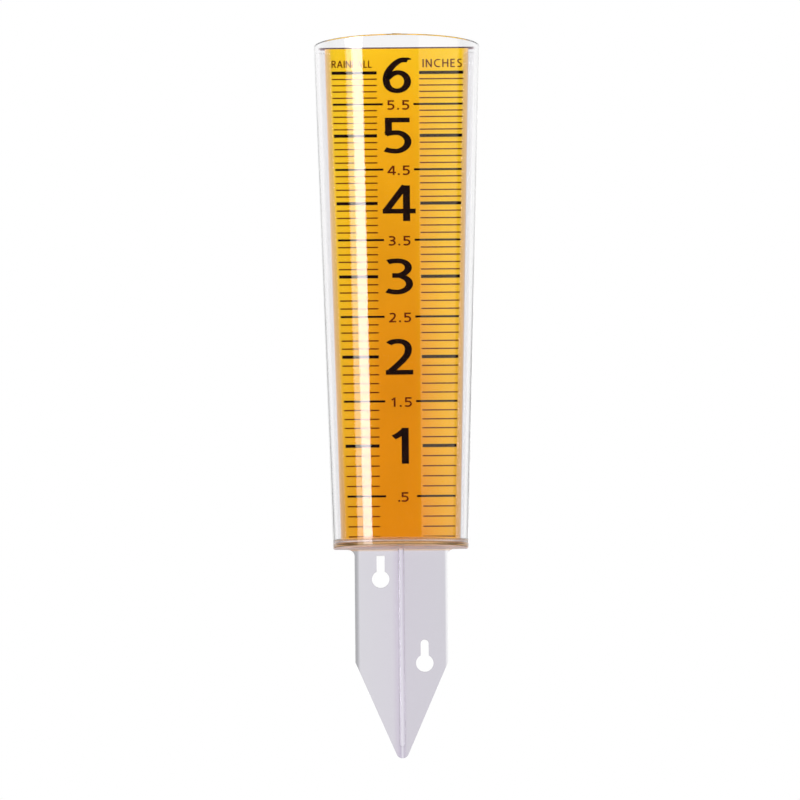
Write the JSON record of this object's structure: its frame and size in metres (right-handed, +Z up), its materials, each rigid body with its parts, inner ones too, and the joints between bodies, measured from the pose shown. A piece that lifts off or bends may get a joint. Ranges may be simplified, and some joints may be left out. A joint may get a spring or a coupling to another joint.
{
  "type": "manual rain gauge",
  "caption": "Clear tapered rain tube with a flat back and bowed front, a ground stake with keyholes below it, and a lift-out amber scale plate inside.",
  "frame": {"origin": "on the flat back's centre line, level with the inside of the tube's floor, where the rain scale starts", "axes": "+Z up the tube towards its mouth, +Y out of the flat back towards the post, -Y the bowed front that is read, +X to the reader's right"},
  "size_m": [0.0726, 0.044, 0.312],
  "materials": {
    "clear_plastic": "clear injection-moulded plastic, polished, with a faint cool tint",
    "amber_plastic": "translucent amber plastic sheet with dark printed marks"
  },
  "bodies": {
    "gauge": {"measuring_tube": "clear_plastic", "guide_rib_left": "clear_plastic", "guide_rib_right": "clear_plastic", "ground_stake": "clear_plastic", "stake_web": "clear_plastic"},
    "plate": {"scale_plate": "amber_plastic"}
  },
  "joints": [
    {"name": "plate_lift", "type": "slide", "parent": "gauge", "child": "plate", "axis": [0, 0, 1], "range_m": [0, 0.225]}
  ]
}
